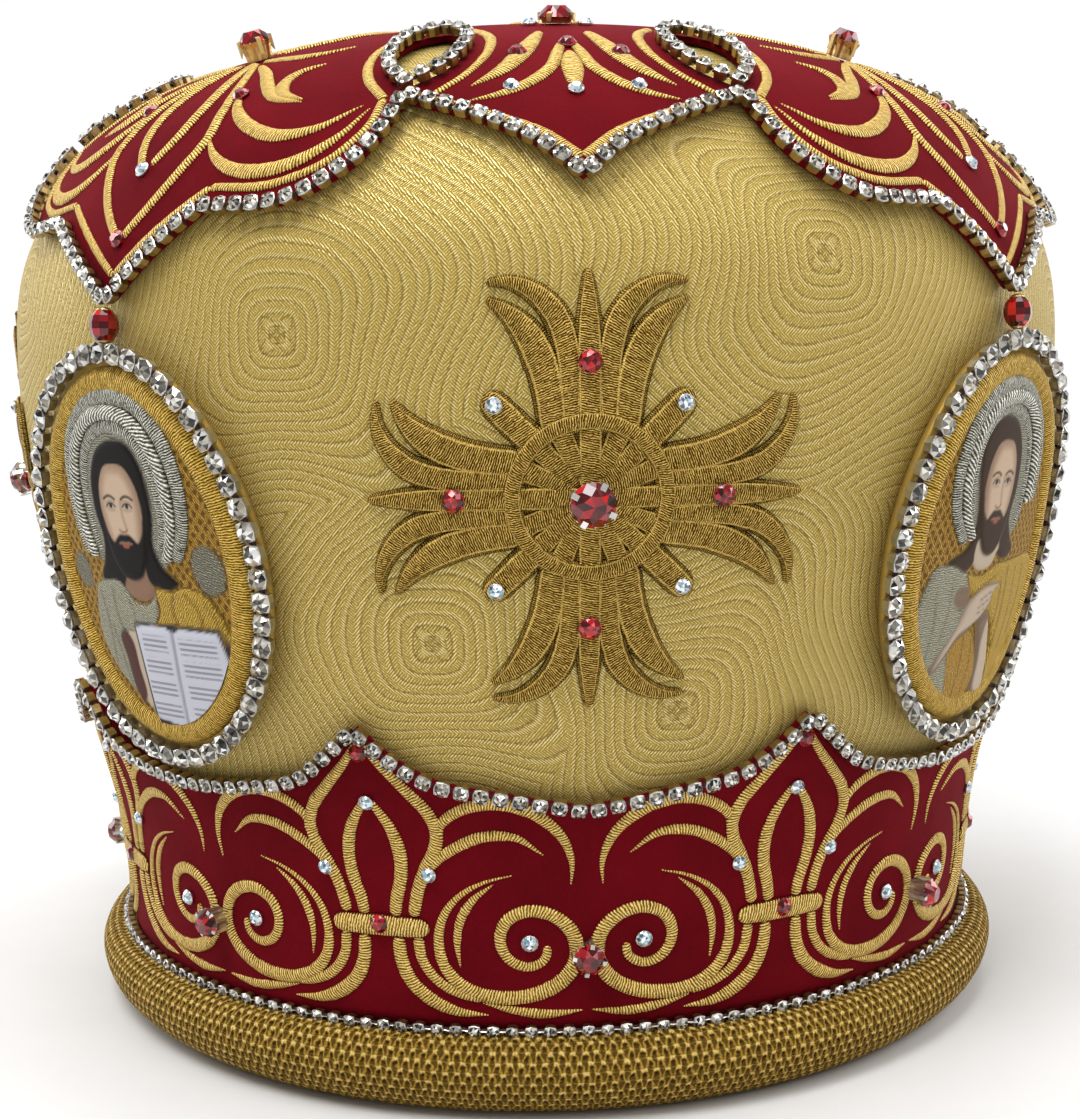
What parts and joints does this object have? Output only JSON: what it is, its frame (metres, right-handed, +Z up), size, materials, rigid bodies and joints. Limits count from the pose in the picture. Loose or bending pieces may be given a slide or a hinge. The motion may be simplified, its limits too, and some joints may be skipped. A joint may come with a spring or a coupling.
{
  "type": "bishop mitre",
  "caption": "Domed crown-shaped bishop's mitre with velvet band and cap, embroidered crosses, icon ovals and stone chains.",
  "frame": {"origin": "on the floor at the centre of the foot roll", "axes": "+Z up through the crown's centre, -Y towards the front icon, +X towards the icon on the viewer's right"},
  "size_m": [0.2656, 0.2656, 0.2277],
  "materials": {
    "brocade": "light gold metallic brocade",
    "crochet": "crocheted gold thread",
    "velvet": "dark red velvet",
    "embroidery": "satin-stitched gold thread",
    "icon": "embroidered and printed cloth over card",
    "stone_chain": "clear cut stones in metal cups",
    "red_stone": "cut red glass in metal cups"
  },
  "bodies": {
    "root": {"crown_shell": "brocade", "rim_roll": "crochet", "velvet_band": "velvet", "velvet_cap": "velvet", "chain_foot": "stone_chain", "chain_band": "stone_chain", "chain_cap": "stone_chain", "chain_window_1": "stone_chain", "chain_window_2": "stone_chain", "chain_window_3": "stone_chain", "chain_window_4": "stone_chain", "chain_window_5": "stone_chain", "chain_window_6": "stone_chain", "chain_window_7": "stone_chain", "chain_window_8": "stone_chain", "chain_icon_1": "stone_chain", "chain_icon_2": "stone_chain", "chain_icon_3": "stone_chain", "chain_icon_4": "stone_chain", "icon_oval_1": "icon", "icon_oval_2": "icon", "icon_oval_3": "icon", "icon_oval_4": "icon", "cross_1": "embroidery", "cross_2": "embroidery", "cross_3": "embroidery", "cross_4": "embroidery", "stone_cross_1": "red_stone", "stone_cross_2": "red_stone", "stone_cross_3": "red_stone", "stone_cross_4": "red_stone", "stone_large_petal_1": "red_stone", "stone_large_petal_2": "red_stone", "stone_large_petal_3": "red_stone", "stone_large_petal_4": "red_stone", "stone_small_petal_1": "red_stone", "stone_small_petal_2": "red_stone", "stone_small_petal_3": "red_stone", "stone_small_petal_4": "red_stone", "stone_band_1": "red_stone", "stone_band_2": "red_stone", "stone_band_3": "red_stone", "stone_band_4": "red_stone", "stone_band_5": "red_stone", "stone_band_6": "red_stone", "stone_band_7": "red_stone", "stone_band_8": "red_stone", "tip_bead_1": "red_stone", "tip_bead_2": "red_stone", "tip_bead_3": "red_stone", "tip_bead_4": "red_stone"}
  },
  "joints": []
}
